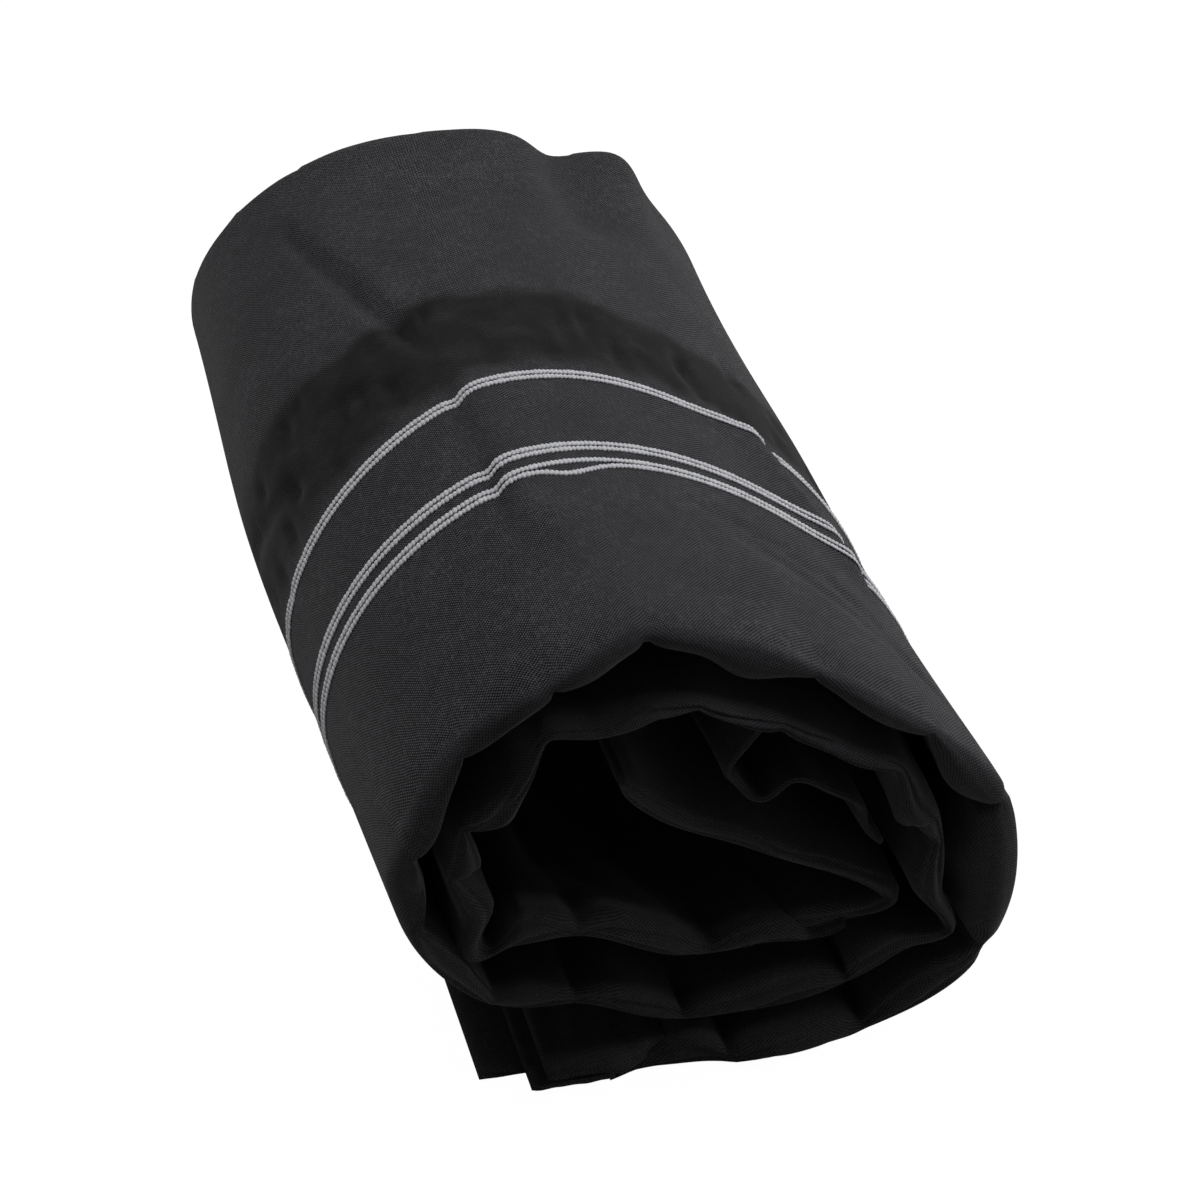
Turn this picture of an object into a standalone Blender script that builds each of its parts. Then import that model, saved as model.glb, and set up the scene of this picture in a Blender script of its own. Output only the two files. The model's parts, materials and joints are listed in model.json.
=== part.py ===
"""A folded strip of black cotton cloth, rolled up for storage.

The cloth is folded lengthwise into a soft flat strip and wound from its inner end outwards. Woven white
stripes run round the outer turn, the plies of the tail fan out on the table, and the inner end turns back
on itself inside the hollow of the roll.

Frame: +Y runs along the roll to its far end, +Z is up, and the roll lies on z = 0.
"""

import math

import bpy
import numpy as np

# Roll as it lies, in metres: the near end is the one at -Y
ROLL_LENGTH = 0.157
NEAR_WIDTH = 0.0863
FAR_WIDTH = 0.0880
NEAR_HEIGHT = 0.072
FAR_HEIGHT = 0.069
FLAT_DEPTH = 0.0017
LEAN = 0.20
NEAR_CROWN = 1.5
FAR_CROWN = 2.0
BASE_FULLNESS = 2.5

# Winding: the step from turn to turn at the sides, the crown and the base, where its weight presses the
# turns together, and how far the strip is wound from under the roll
SIDE_STEP = 0.0085
CROWN_STEP = 0.0105
BASE_STEP = 0.0078
WOUND_TURNS = 2.11

# Folded strip: its soft inner ply swells in lobes between pinched creases, which are given in turns
LOBE_THICKNESS = 0.0055
LOBE_PINCH = 0.0022
LOBE_BULGE = 0.27
LOBE_CREASES = (
    -0.005, 0.056, 0.147, 0.258, 0.332, 0.394, 0.488, 0.569, 0.629, 0.70, 0.775, 0.86, 0.925, 0.986,
    1.07, 1.153, 1.235, 1.321, 1.40, 1.456, 1.56, 1.671, 1.75, 1.83, 1.91, 2.00)
PRESSED_SHARE = 0.70
PRESSED_TURNS = 0.13
RIM_DEPTH = 0.0035

# Swells and dips of the outer turn: the turn each is at and its span in turns, its place and reach as
# shares of the roll's length, and its height
SWELLS = (
    (0.20, 0.11, 0.00, 0.20, 0.0028),
    (0.73, 0.13, 0.53, 0.22, 0.0018),
    (0.28, 0.06, 0.90, 0.29, -0.0012),
    (0.66, 0.10, 1.00, 0.17, -0.0013),
    (0.365, 0.022, 1.00, 0.13, 0.0030),
    (0.408, 0.018, 1.00, 0.18, -0.0019),
)

# Woven stripes on the outer turn: the distance of each from the near end where it crosses the crown, and
# how far it falls back per turn on either flank, because the cloth was wound askew
SINGLE_STRIPE_AT = 0.0755
PAIR_STRIPE_AT = 0.0522
PAIR_SPACING = 0.0047
STRIPE_CROWN_TURN = 0.44
STRIPE_BEND_TURNS = 0.05
SINGLE_STRIPE_FALL = 0.070
PAIR_STRIPE_FALL = 0.048
STRIPE_WIDTH = 0.0028
STRIPE_RELIEF = 0.0004
STRIPE_FROM_TURN = 0.06
STRIPE_TO_TURN = 0.86

# Tail: three loose plies that hinge at the seam where the outer turn lifts off the table
SEAM_SETBACK = 0.0100
TOP_PLY_REACH = 0.0064
MIDDLE_PLY_REACH = 0.0088
UNDER_PLY_REACH = 0.0151
TOP_PLY_THICKNESS = 0.0016
MIDDLE_PLY_THICKNESS = 0.0010
UNDER_PLY_THICKNESS = 0.0012
UNDER_PLY_INSET = 0.0060
MIDDLE_PLY_INSET = 0.0010

# Inner end: the strip turns back in a hairpin and crosses the hollow
INNER_END_THICKNESS = 0.0030
HAIRPIN_RADIUS = 0.0028
INNER_END_SLOPE = 148.0
INNER_END_ROOM = 0.0085

# Gaps between neighbouring pieces
SEAT_GAP = 0.0003
HINGE_GAP = 0.0004

# Fineness of the facets
STATIONS_PER_LOBE = 4
ROW_SHARES = (0.0, 0.16, 0.30, 0.44, 0.58, 0.72, 0.86, 1.0)
RIM_STEPS = 4
HAIRPIN_STEPS = 5
CROSSING_STEPS = 6
ROUND_STEPS = 3

# Cloth and yarn colours as linear values
BLACK_COTTON = (0.010, 0.010, 0.011, 1.0)
WHITE_YARN = (0.55, 0.56, 0.60, 1.0)
COTTON_ROUGHNESS = 0.92

NEAR_END = (NEAR_WIDTH, NEAR_HEIGHT, NEAR_CROWN)
FAR_END = (FAR_WIDTH, FAR_HEIGHT, FAR_CROWN)
MEAN_END = tuple((near + far) / 2 for near, far in zip(NEAR_END, FAR_END))
NEAR_Y = -ROLL_LENGTH / 2
FAR_Y = ROLL_LENGTH / 2

# Stretches of the winding, in turns: the run along the table, the last stretch that is level along the
# roll, and the wall that the inner end points at
FLOOR_RUN = 0.10
LEVEL_RUN = 0.40
CROSSED_WALL = (1.4, 1.9)


def superellipse(angle, fullness):
    """A unit point on a closed curve that is a circle at fullness 2 and a diamond at 1."""
    across = math.cos(angle)
    up = math.sin(angle)
    power = 2 / fullness
    return math.copysign(abs(across) ** power, across), math.copysign(abs(up) ** power, up)


def spiral_point(turn, end):
    """The outer side of the strip after this many turns from under the roll, as (x, z)."""
    width, height, crown = end
    half_width = (width + SIDE_STEP) / 2
    half_height = (height + FLAT_DEPTH + CROWN_STEP / 2) / 2
    centre_z = half_height - FLAT_DEPTH
    angle = math.tau * (turn - 0.25)
    fullness, rise = (crown, CROWN_STEP) if math.sin(angle) > 0 else (BASE_FULLNESS, BASE_STEP)
    across, up = superellipse(angle, fullness)
    across *= half_width - SIDE_STEP * turn
    up *= half_height - rise * turn
    return across - LEAN * up, max(centre_z + up, 0.0)


def strip_point(turn, end):
    """The spiral, led straight along the table from the tail's seam, and level along the roll at its stop."""
    if turn < 0:
        base_x, _ = spiral_point(0, end)
        return base_x + (base_x + SEAM_SETBACK) * turn / FLOOR_RUN, 0.0
    level = min(max((turn - WOUND_TURNS) / LEVEL_RUN + 1, 0.0), 1.0)
    drawn = [own + (mean - own) * level for own, mean in zip(end, MEAN_END)]
    return spiral_point(turn, drawn)


def inward_normals(points):
    """Unit normals on the left of a path, which is the inner side of the winding."""
    ahead = np.gradient(points, axis=0)
    normals = np.column_stack([-ahead[:, 1], ahead[:, 0]])
    return normals / np.linalg.norm(normals, axis=1)[:, None]


def wound_stations():
    """Turns at which the strip is drawn, lobe by lobe, and its thickness at each."""
    edges = (-FLOOR_RUN, *LOBE_CREASES, WOUND_TURNS)
    path = np.array([strip_point(turn, NEAR_END) for turn in edges])
    lengths = np.linalg.norm(np.diff(path, axis=0), axis=1)
    turns = []
    thickness = []
    for left, right, length in zip(edges[:-1], edges[1:], lengths):
        swell = min(LOBE_BULGE * length, LOBE_THICKNESS - LOBE_PINCH)
        for step in range(STATIONS_PER_LOBE):
            share = step / STATIONS_PER_LOBE
            turns.append(left + (right - left) * share)
            thickness.append(LOBE_PINCH + swell * math.sqrt(1 - (2 * share - 1) ** 2))
    turns = np.array([*turns, WOUND_TURNS])
    thickness = np.array([*thickness, LOBE_PINCH])
    pressed = np.clip(2 - np.abs(turns) / PRESSED_TURNS, 0, 1)
    thickness *= 1 - (1 - PRESSED_SHARE) * pressed
    last_lobe = np.clip((np.arange(len(turns)) - len(turns) + 1) / STATIONS_PER_LOBE + 1, 0, 1)
    return turns, thickness + (INNER_END_THICKNESS - thickness) * last_lobe


def relief(turns, share):
    """How far the outer turn swells out at this share of the way along the roll."""
    height = np.zeros(len(turns))
    for turn, span, place, reach, most in SWELLS:
        height += most * np.exp(-(((turns - turn) / span) ** 2) - ((share - place) / reach) ** 2)
    return height * np.clip(turns / FLOOR_RUN, 0, 1)


def wound_sides(turns, thickness, share):
    """The outer and inner side of the winding at a share of the way along the roll."""
    near = np.array([strip_point(turn, NEAR_END) for turn in turns])
    far = np.array([strip_point(turn, FAR_END) for turn in turns])
    path = near + (far - near) * share
    inward = inward_normals(path)
    outer = path - inward * relief(turns, share)[:, None]
    return outer, outer + inward * thickness[:, None]


def distance_to_path(points, path):
    """Least distance from each point to a path of straight pieces."""
    start = path[:-1]
    along = path[1:] - start
    reach = points[:, None] - start[None]
    share = np.clip((reach * along).sum(2) / (along**2).sum(1), 0, 1)
    return np.linalg.norm(reach - share[..., None] * along, axis=2)


def least_gap(outer, inner, turns):
    """Least gap between one turn of the winding and the next."""
    gaps = distance_to_path(outer, inner)
    apart = turns[:, None] - turns[None, :-1] > 0.5
    return gaps[apart].min()


def cotton(name, colour):
    material = bpy.data.materials.new(name)
    material.use_nodes = True
    shader = material.node_tree.nodes["Principled BSDF"]
    shader.inputs["Base Color"].default_value = colour
    shader.inputs["Roughness"].default_value = COTTON_ROUGHNESS
    shader.inputs["Metallic"].default_value = 0.0
    return material


def add_object(name, points, faces, colour, parent):
    """A named piece on its parent empty, with its points given in the roll's own frame."""
    mesh = bpy.data.meshes.new(name)
    mesh.from_pydata((np.asarray(points) - parent["at"]).tolist(), [], faces)
    mesh.validate()
    mesh.shade_smooth()
    mesh.set_sharp_from_angle(angle=math.radians(50))
    mesh.materials.append(cotton(name, colour))
    piece = bpy.data.objects.new(name, mesh)
    piece.parent = parent
    bpy.context.scene.collection.objects.link(piece)
    return piece


def strip_rings(outer_rows, inner_rows, near_y, far_y, rim_depth):
    """One ring of points round the folded strip at each station, with soft rims at both ends.

    Each row is a path of (x, z), and the rows are given from the near end to the far end with their shares
    of the way. The ring goes along the outer side, round the far rim, back along the inner side and round
    the near rim.
    """
    span_near = near_y + rim_depth
    span_far = far_y - rim_depth

    def at(path, y):
        return np.column_stack([path[:, 0], np.full(len(path), y), path[:, 1]])

    def along(rows):
        return [at(path, span_near + (span_far - span_near) * share) for share, path in rows]

    def rim(outer, inner, y, outward):
        middle = (outer + inner) / 2
        half = (outer - inner) / 2
        for step in range(1, RIM_STEPS):
            turned = math.pi * step / RIM_STEPS
            yield at(middle + half * math.cos(turned) * outward, y + rim_depth * math.sin(turned) * outward)

    ring = along(outer_rows)
    ring += rim(outer_rows[-1][1], inner_rows[-1][1], span_far, 1)
    ring += along(inner_rows)[::-1]
    ring += rim(outer_rows[0][1], inner_rows[0][1], span_near, -1)
    return np.stack(ring, axis=1)


def plain_rings(sides, near_y, far_y, rim_depth):
    """Rings round a strip whose section stays the same along the roll."""
    outer, inner = sides
    return strip_rings([(0, outer), (1, outer)], [(0, inner), (1, inner)], near_y, far_y, rim_depth)


def skin(rings):
    """Points and faces of a closed skin over a row of rings."""
    stations, sides, _ = rings.shape
    faces = []
    for station in range(stations - 1):
        for side in range(sides):
            here = station * sides
            after = here + sides
            turn = (side + 1) % sides
            faces.append((here + side, here + turn, after + turn, after + side))
    faces.append(tuple(reversed(range(sides))))
    faces.append(tuple(range((stations - 1) * sides, stations * sides)))
    return rings.reshape(-1, 3), faces


def stripe_rings(turns, outer_rows, place, fall):
    """A flat band of white yarns that lies on the outer turn and falls back on both flanks."""
    shown = (turns > STRIPE_FROM_TURN) & (turns < STRIPE_TO_TURN)
    turns = turns[shown]
    off_crown = np.hypot(turns - STRIPE_CROWN_TURN, STRIPE_BEND_TURNS) - STRIPE_BEND_TURNS
    middle_y = NEAR_Y + place - fall * off_crown
    shares = [share for share, _ in outer_rows]
    paths = np.array([path[shown] for _, path in outer_rows])

    def on_cloth(y):
        share = (y - NEAR_Y - RIM_DEPTH) / (ROLL_LENGTH - 2 * RIM_DEPTH)
        return np.array([
            [np.interp(there, shares, paths[:, station, axis]) for axis in range(2)]
            for station, there in enumerate(share)])

    corners = []
    for side, height in ((-1, STRIPE_RELIEF), (1, STRIPE_RELIEF), (1, 0.0), (-1, 0.0)):
        y = middle_y + side * STRIPE_WIDTH / 2
        path = on_cloth(y)
        raised = path - inward_normals(path) * (SEAT_GAP + height)
        corners.append(np.column_stack([raised[:, 0], y, raised[:, 1]]))
    return np.stack(corners, axis=1)


def ply_sides(low, high, reach, hinge, knuckle):
    """A loose ply of the tail, its root cut round the hinge and its free edge rounded."""
    half = (high - low) / 2
    root = []
    for z in (low, high):
        above = z - hinge[1]
        root.append(hinge[0] + math.sqrt(max(knuckle**2 - above**2, 0.0)))
    tip = hinge[0] - reach
    under = [(root[0], low)]
    over = [(root[1], high)]
    for step in range(ROUND_STEPS + 1):
        turned = math.pi / 2 * step / (ROUND_STEPS + 1)
        x = tip + half * (1 - math.sin(turned))
        shrink = half * (1 - math.cos(turned))
        under.append((x, low + shrink))
        over.append((x, high - shrink))
    return np.array(under)[::-1], np.array(over)[::-1]


def free_reach(start, ahead, walls):
    """How far a straight run can go before it comes within the inner end's room of a wall."""
    reach = 0.0
    room = math.inf
    while room > INNER_END_ROOM:
        reach += HINGE_GAP
        tip = (start + ahead * reach)[None]
        room = min(distance_to_path(tip, wall).min() for wall in walls)
    return reach


def hairpin_path(root, heading, walls):
    """Middle line of the inner end: out of the winding, round the hairpin and across the hollow."""
    slope = math.radians(INNER_END_SLOPE)
    along = np.array([math.cos(heading), math.sin(heading)])
    left = np.array([-along[1], along[0]])
    points = [root - along * INNER_END_THICKNESS / 2 * share for share in (1.0, 0.7, 0.0)]
    bend = slope - heading
    for step in range(HAIRPIN_STEPS + 1):
        turned = bend * step / HAIRPIN_STEPS
        forward = along * math.sin(turned) + left * (1 - math.cos(turned))
        points.append(root + along * HINGE_GAP + forward * HAIRPIN_RADIUS)
    ahead = np.array([math.cos(slope), math.sin(slope)])
    start = points[-1]
    reach = free_reach(start, ahead, walls)
    points += [start + ahead * reach * step / CROSSING_STEPS for step in range(1, CROSSING_STEPS + 1)]
    points.append(points[-1] + ahead * INNER_END_THICKNESS / 2)
    return np.array(points)


def inner_end_sides(path):
    """The two sides of the inner end, round at its root and at its free edge."""
    half = np.full(len(path), INNER_END_THICKNESS / 2)
    half[[0, -1]] *= 0.2
    half[1] *= 0.75
    normals = inward_normals(path) * half[:, None]
    return path - normals, path + normals


def add_empty(name, at, parent=None):
    """An empty at a point of the roll's own frame, which carries the pieces that move with it."""
    empty = bpy.data.objects.new(name, None)
    empty["at"] = at
    empty.parent = parent
    empty.location = np.asarray(at) - (np.asarray(parent["at"]) if parent else 0.0)
    empty.empty_display_size = HINGE_GAP * 10
    bpy.context.scene.collection.objects.link(empty)
    return empty


for leftover in list(bpy.data.objects):
    bpy.data.objects.remove(leftover, do_unlink=True)

turns, thickness = wound_stations()
near_sides = wound_sides(turns, thickness, 0)
far_sides = wound_sides(turns, thickness, 1)
for label, sides in (("near", near_sides), ("far", far_sides)):
    gap = round(least_gap(*sides, turns) * 1000, 2)
    print("wound_cloth least gap to itself at the", label, "end, mm:", gap)

outer_rows = [(share, wound_sides(turns, thickness, share)[0]) for share in ROW_SHARES]
inner_rows = [(0, near_sides[1]), (1, far_sides[1])]
cloth = strip_rings(outer_rows, inner_rows, NEAR_Y, FAR_Y, RIM_DEPTH)
pair_far = PAIR_STRIPE_AT + PAIR_SPACING / 2
pair_near = PAIR_STRIPE_AT - PAIR_SPACING / 2
stripes = {
    "single_stripe": stripe_rings(turns, outer_rows, SINGLE_STRIPE_AT, SINGLE_STRIPE_FALL),
    "pair_stripe_far": stripe_rings(turns, outer_rows, pair_far, PAIR_STRIPE_FALL),
    "pair_stripe_near": stripe_rings(turns, outer_rows, pair_near, PAIR_STRIPE_FALL),
}

# Tail plies, stacked from the table up and hinged together at the seam
under_high = UNDER_PLY_THICKNESS
middle_low = under_high + SEAT_GAP
middle_high = middle_low + MIDDLE_PLY_THICKNESS
top_low = middle_high + SEAT_GAP
top_high = top_low + TOP_PLY_THICKNESS
knuckle = top_high / 2
tail_hinge = (-SEAM_SETBACK - HINGE_GAP - knuckle, knuckle)
plies = {
    "tail_top_ply": (top_low, top_high, TOP_PLY_REACH, 0.0),
    "tail_middle_ply": (middle_low, middle_high, MIDDLE_PLY_REACH, MIDDLE_PLY_INSET),
    "tail_under_ply": (0.0, under_high, UNDER_PLY_REACH, UNDER_PLY_INSET),
}

# Inner end, hinged along the line where the winding stops
outer, inner = near_sides
stop = (outer[-1] + inner[-1]) / 2
heading = math.atan2(*(outer[-1] - outer[-2])[::-1])
along = np.array([math.cos(heading), math.sin(heading)])
inner_hinge = stop + along * (HINGE_GAP + INNER_END_THICKNESS / 2)
crossed = (turns > CROSSED_WALL[0]) & (turns < CROSSED_WALL[1])
walls = [sides[1][crossed] for sides in (near_sides, far_sides)]
inner_end = inner_end_sides(hairpin_path(inner_hinge, heading, walls))

# The origin is under the middle of the roll, so every piece hangs on one empty that is moved there
reach = np.vstack([rings.reshape(-1, 3) for rings in (cloth, *stripes.values())])
middle = (reach.min(0) + reach.max(0)) / 2
frame = add_empty("roll_frame", (0.0, 0.0, 0.0))
tail = add_empty("tail_hinge_line", (tail_hinge[0], 0.0, tail_hinge[1]), frame)
flap = add_empty("inner_end_hinge_line", (inner_hinge[0], 0.0, inner_hinge[1]), frame)

add_object("wound_cloth", *skin(cloth), BLACK_COTTON, frame)
for name, rings in stripes.items():
    add_object(name, *skin(rings), WHITE_YARN, frame)
for name, (low, high, ply_reach, inset) in plies.items():
    sides = ply_sides(low, high, ply_reach, tail_hinge, knuckle)
    rings = plain_rings(sides, NEAR_Y + inset, FAR_Y - inset, (high - low) / 2)
    add_object(name, *skin(rings), BLACK_COTTON, tail)
rings = plain_rings(inner_end, NEAR_Y, FAR_Y, RIM_DEPTH)
add_object("inner_end_fold", *skin(rings), BLACK_COTTON, flap)

frame.location = (-middle[0], -middle[1], 0.0)
bpy.context.view_layer.update()
for empty in (tail, flap):
    print(empty.name, "at, mm:", [round(value * 1000, 2) for value in empty.matrix_world.translation])
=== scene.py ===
import json
import math

import bpy
import numpy as np
from mathutils import Matrix, Vector


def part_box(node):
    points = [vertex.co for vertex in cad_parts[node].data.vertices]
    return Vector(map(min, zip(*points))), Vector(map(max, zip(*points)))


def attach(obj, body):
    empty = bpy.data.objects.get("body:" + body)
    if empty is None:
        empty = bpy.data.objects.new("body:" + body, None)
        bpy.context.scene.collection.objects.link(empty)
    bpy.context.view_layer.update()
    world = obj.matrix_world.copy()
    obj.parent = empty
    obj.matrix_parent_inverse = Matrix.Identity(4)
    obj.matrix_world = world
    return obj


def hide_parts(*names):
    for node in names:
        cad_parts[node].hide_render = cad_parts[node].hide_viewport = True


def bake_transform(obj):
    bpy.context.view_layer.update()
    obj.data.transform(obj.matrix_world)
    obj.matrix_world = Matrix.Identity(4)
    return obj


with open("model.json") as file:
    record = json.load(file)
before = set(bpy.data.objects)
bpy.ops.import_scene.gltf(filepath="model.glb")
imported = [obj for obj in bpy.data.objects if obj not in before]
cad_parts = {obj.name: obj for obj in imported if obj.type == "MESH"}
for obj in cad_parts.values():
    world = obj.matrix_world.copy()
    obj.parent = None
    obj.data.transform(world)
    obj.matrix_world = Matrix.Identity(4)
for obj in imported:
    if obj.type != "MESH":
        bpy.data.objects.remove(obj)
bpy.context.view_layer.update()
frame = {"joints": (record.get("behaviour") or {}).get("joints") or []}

MM = 0.001

# Roll as it lies: the section of its outer turn at the near end (-Y) and at the far end
NEAR_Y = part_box("wound_cloth")[0][1]
FAR_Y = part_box("wound_cloth")[1][1]
NEAR_END = dict(width=86.3 * MM, height=72.0 * MM, crown=1.5)
FAR_END = dict(width=88.0 * MM, height=69.0 * MM, crown=2.0)
FLAT_DEPTH = 1.7 * MM
LEAN = 0.20
BASE_FULLNESS = 2.5
BOW = 2.0 * MM
BOW_MIDDLE = -0.9 * MM

# Turns over which the outer ply is in sight, so that it gets its folds
SHOWN_RISE, SHOWN_FALL = (0.03, 0.12), (0.88, 1.0)

# Winding: how far each turn steps in, how many turns there are, and the level runs at its two ends
SIDE_STEP = 8.5 * MM
CROWN_STEP = 10.5 * MM
BASE_STEP = 7.8 * MM
WOUND_TURNS = 2.11
TURN_LENGTH = 240.0 * MM
FLOOR_RUN = 0.10
LEVEL_RUN = 0.40
SEAM_SETBACK = 10.0 * MM
TABLE_SOFTNESS = 0.3 * MM

# Joints that the cloth bends at
JOINTS = {joint["name"]: joint for joint in frame["joints"]}
TAIL_HINGE = np.array(JOINTS["tail_lift"]["pos_m"])
INNER_HINGE = np.array(JOINTS["inner_end_swing"]["pos_m"])
TAIL_KNUCKLE = 2.6 * MM
SECTION_SHIFT = TAIL_HINGE[0] + TAIL_KNUCKLE + SEAM_SETBACK

# Pinched creases of the inner ply, in turns from under the roll
NOTCHES = np.array([
    -0.20, -0.005, 0.056, 0.147, 0.258, 0.332, 0.394, 0.488, 0.569, 0.629, 0.70, 0.775, 0.86, 0.925, 0.986,
    1.07, 1.153, 1.235, 1.321, 1.40, 1.456, 1.585, 1.675, 1.75, 1.83, 1.91, 2.00, 2.07, 2.20])

# Creases that bulge into the turn outside them, and those that nick the outer ply: turn and depth
DEEP_CREASES = (
    (1.585, 3.2 * MM), (1.153, 5.2 * MM), (1.321, 1.2 * MM), (1.675, 1.0 * MM), (1.456, 0.8 * MM),
    (1.815, 4.5 * MM))
DEEP_CREASE_WIDTH = 5.0 * MM
NICKS = ((0.488, 0.7 * MM), (0.394, 0.7 * MM), (0.569, 0.6 * MM), (0.258, 0.8 * MM), (0.147, 0.9 * MM))
NICK_WIDTH = 2.2 * MM
NICK_REACH = 9.0 * MM

# Swelling of the folded strip between its creases, less at the crowns and more at the right
THIN_EDGE = 0.6 * MM
PINCH = 1.3 * MM
SWELL_SHARE = 0.27
SWELL_LEAST = 2.6 * MM
SWELL_MOST = 4.7 * MM
RIGHT_SWELL = 7.2 * MM
RIGHT_SIDE_ENDS = (0.24, 0.34)
CROWN_SWELL = 2.9 * MM
CROWN_RISE, CROWN_FALL = (0.29, 0.37), (0.86, 0.92)
SECOND_CROWN_SWELL = 1.5 * MM
SECOND_CROWN_RISE, SECOND_CROWN_FALL = (1.28, 1.34), (1.60, 1.66)
CROWN_SAG = 2.0 * MM
CROWN_SAG_TURN, CROWN_SAG_SPAN = 0.422, 0.019
FLOOR_FILL = 0.85
FLOOR_RISE, FLOOR_FALL, LAST_FLOOR_RISE = (0.84, 0.90), (1.10, 1.16), (1.86, 1.92)

# Where the lower layers ride up over the tail, near the near end: turn, span in turns and height
LIFTS = ((0.930, 0.042, 4.3 * MM), (1.920, 0.072, 8.6 * MM), (2.03, 0.035, 2.6 * MM))
LIFT_REACH = 28.0 * MM

# Near rim: how deep it is rounded, how it telescopes from turn to turn and how it rolls over
RIM_LEAST = 1.5 * MM
RIM_MOST = 2.6 * MM
RIM_TIP = 0.5
TELESCOPE = 1.3 * MM
TELESCOPE_WAVE = 0.8 * MM
TELESCOPE_REACH = 40.0 * MM
CROWN_ROLL_OVER = 1.6 * MM
CROWN_ROLL_RISE, CROWN_ROLL_FALL = (0.25, 0.38), (0.62, 0.75)
INNER_ROLL_OVER = 0.5 * MM
INNER_ROLL_RISE = (0.92, 1.10)
ROLL_OVER_REACH = 9.0 * MM

# Where the near rim is drawn in, or stands out: turn, span in turns and distance
RIM_SETBACKS = (
    (0.455, 0.10, 4.9 * MM), (0.515, 0.045, 2.0 * MM), (0.62, 0.05, 3.5 * MM), (-0.08, 0.035, 1.7 * MM),
    (0.012, 0.028, -1.6 * MM))

# Left part of the near rim, rounded more broadly over its outer side
LEFT_RISE, LEFT_FALL = (0.56, 0.68), (0.84, 0.92)
LEFT_RIM = 4.2 * MM
LEFT_TIP_DROP = 0.32
LEFT_SWELL = 0.9 * MM
LEFT_SWELL_REACH = 30.0 * MM

# Grooves between the plies of the near rim, shallower where its outer ply is in sight
LIP_DEPTH = 0.34
LIP_DEPTH_LOSS = 0.28
LIP_LOSS_RISE, LIP_LOSS_FALL = (0.08, 0.18), (0.70, 0.85)

# Stripes: where each crosses the crown and how far it falls back on the flanks
STRIPE_CROWN = 0.44
STRIPE_ROUNDING = 0.05
SINGLE_STRIPE = dict(y=NEAR_Y + 75.5 * MM, left_fall=62.0 * MM, right_fall=95.0 * MM)
PAIR_FAR = dict(y=NEAR_Y + 54.5 * MM, left_fall=46.0 * MM, right_fall=60.0 * MM)
PAIR_NEAR = dict(y=NEAR_Y + 49.8 * MM, left_fall=46.0 * MM, right_fall=60.0 * MM)
STRIPE_TURNS = (0.05, 0.93)

# White floats of the stripes, drawn coarser than real yarns so that each one shows in the picture
FLOAT_PITCH = 0.66 * MM
FLOAT_SIZE = (0.90 * MM, 1.42 * MM, 0.50 * MM)
FLOAT_LIFT = 0.12 * MM
FLOAT_SLANT = 0.28
FLOAT_UNEVENNESS = 0.18
CORD_OFFSET = 0.68 * MM
PARTING_TURN, PARTING_SPAN = 0.484, 0.021

# Darker border beyond the single stripe: its far edge, and the small dents in it
BORDER_CROWN = 0.50
BORDER_ROUNDING = 0.06
BORDER_Y = 23.0 * MM
BORDER_FALL = 55.0 * MM
BORDER_WAVES = ((0.9 * MM, 61, 0.0), (0.5 * MM, 133, 1.0))
BORDER_START = 1 * MM
BORDER_FULL = 8 * MM
BORDER_SOFTNESS = 1.5 * MM
BORDER_LAST_TURN = 0.98
PUCKER_COUNT = 34
PUCKER_TURNS = (0.28, 0.74)
PUCKER_MARGIN = 3 * MM
PUCKER_PLACES = (0.05, 0.95)
PUCKER_HALF_LENGTHS = (2.0, 5.0)
PUCKER_HALF_WIDTHS = (0.8, 1.6)
PUCKER_DEPTHS = (0.35, 0.95)

# Fineness of the meshes, and the seed of all that is random
STATION_STEP = 0.95 * MM
ROLL_ROWS = 88
FAR_RIM_STEPS = 6
NEAR_RIM_STEPS = 18
SEED = 7

# Painted light on the outer face, whose colour is drawn lighter and grainier as if lit: rows short of the
# near rim, and turns, over which it fades to the plainer inside tone
FADE_ROWS = 5
PAINTED_LIGHT_FALL = (0.84, 0.92)


def smooth(value, low, high):
    """A smooth rise from 0 at low to 1 at high."""
    share = np.clip((value - low) / (high - low), 0, 1)
    return share * share * (3 - 2 * share)


def between(value, rising, falling):
    """1 between a smooth rise and a smooth fall, each from low to high."""
    return smooth(value, *rising) * (1 - smooth(value, *falling))


def bump(value, middle, span):
    """A smooth hill that is 1 at its middle."""
    return np.exp(-(((value - middle) / span) ** 2))


def run_along(points):
    """Distance from the first point to each point of a path."""
    return np.concatenate([[0], np.cumsum(np.linalg.norm(np.diff(points, axis=0), axis=1))])


def superellipse(angle, fullness):
    """Unit points on a closed curve that is a circle at fullness 2 and a diamond at 1."""
    across = np.cos(angle)
    up = np.sin(angle)
    power = 2 / fullness
    return np.sign(across) * np.abs(across) ** power, np.sign(up) * np.abs(up) ** power


def spiral(turn, end):
    """Outer side of the winding at one end of the roll, as (x, z)."""
    half_width = (end["width"] + SIDE_STEP) / 2
    half_height = (end["height"] + FLAT_DEPTH + CROWN_STEP / 2) / 2
    angle = math.tau * (turn - 0.25)
    fullness = np.where(np.sin(angle) > 0, end["crown"], BASE_FULLNESS)
    across, up = superellipse(angle, fullness)
    across = across * (half_width - SIDE_STEP * turn)
    up = up * (half_height - np.where(up > 0, CROWN_STEP, BASE_STEP) * turn)
    return np.stack([across - LEAN * up, half_height - FLAT_DEPTH + up], axis=-1)


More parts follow.
